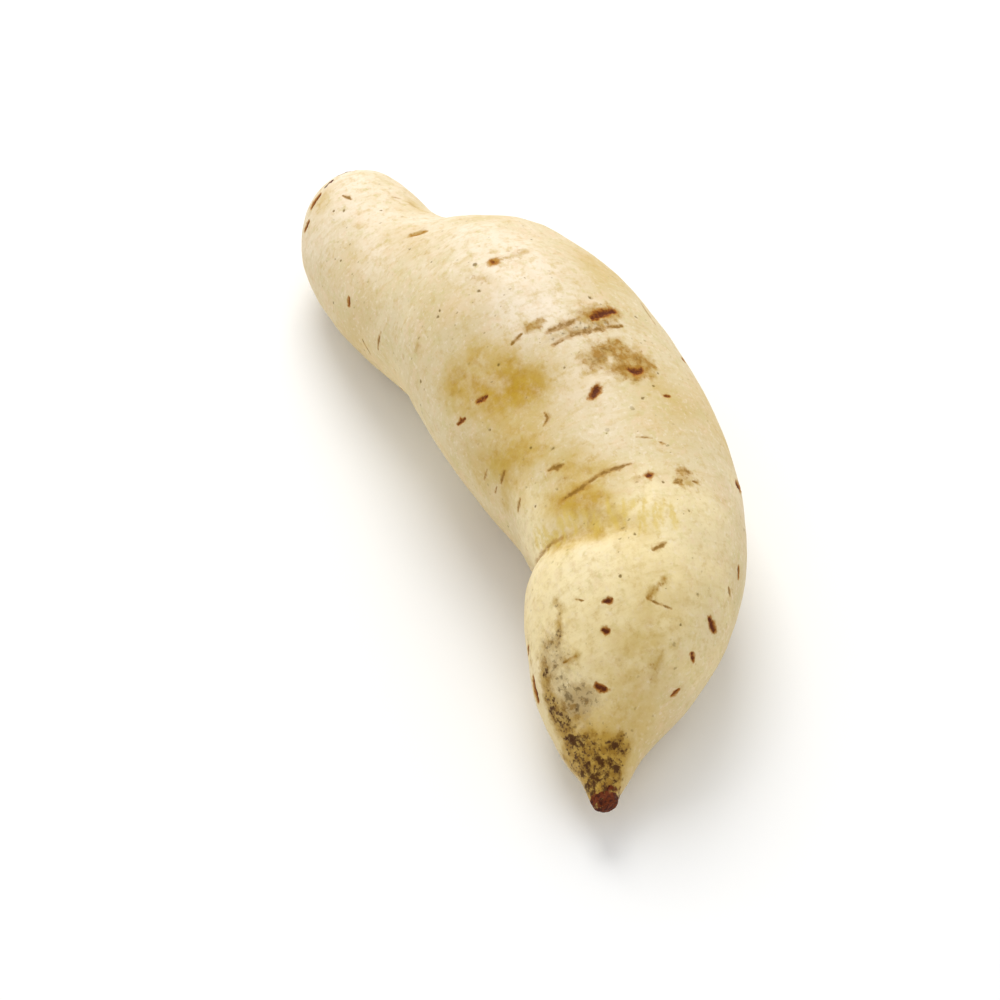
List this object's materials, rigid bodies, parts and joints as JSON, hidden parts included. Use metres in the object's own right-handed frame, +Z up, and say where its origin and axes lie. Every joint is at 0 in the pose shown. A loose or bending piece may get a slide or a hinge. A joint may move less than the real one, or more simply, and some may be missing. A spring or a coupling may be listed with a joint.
{
  "type": "sweet potato",
  "caption": "Bent white sweet potato with a blunt stem end, a humped middle, a fold at the neck and a root end that tapers to a corky tip, lying on its side.",
  "frame": {"origin": "under the middle of the bounding box, on the surface that the root lies on", "axes": "+X along the root towards its thin root end, +Y towards the outside of its bend, +Z up"},
  "size_m": [0.2, 0.074, 0.0574],
  "materials": {
    "skin": "thin cream skin, matte to satin, with brown scars and soil"
  },
  "bodies": {
    "root": {"sweet_potato": "skin"}
  },
  "joints": []
}
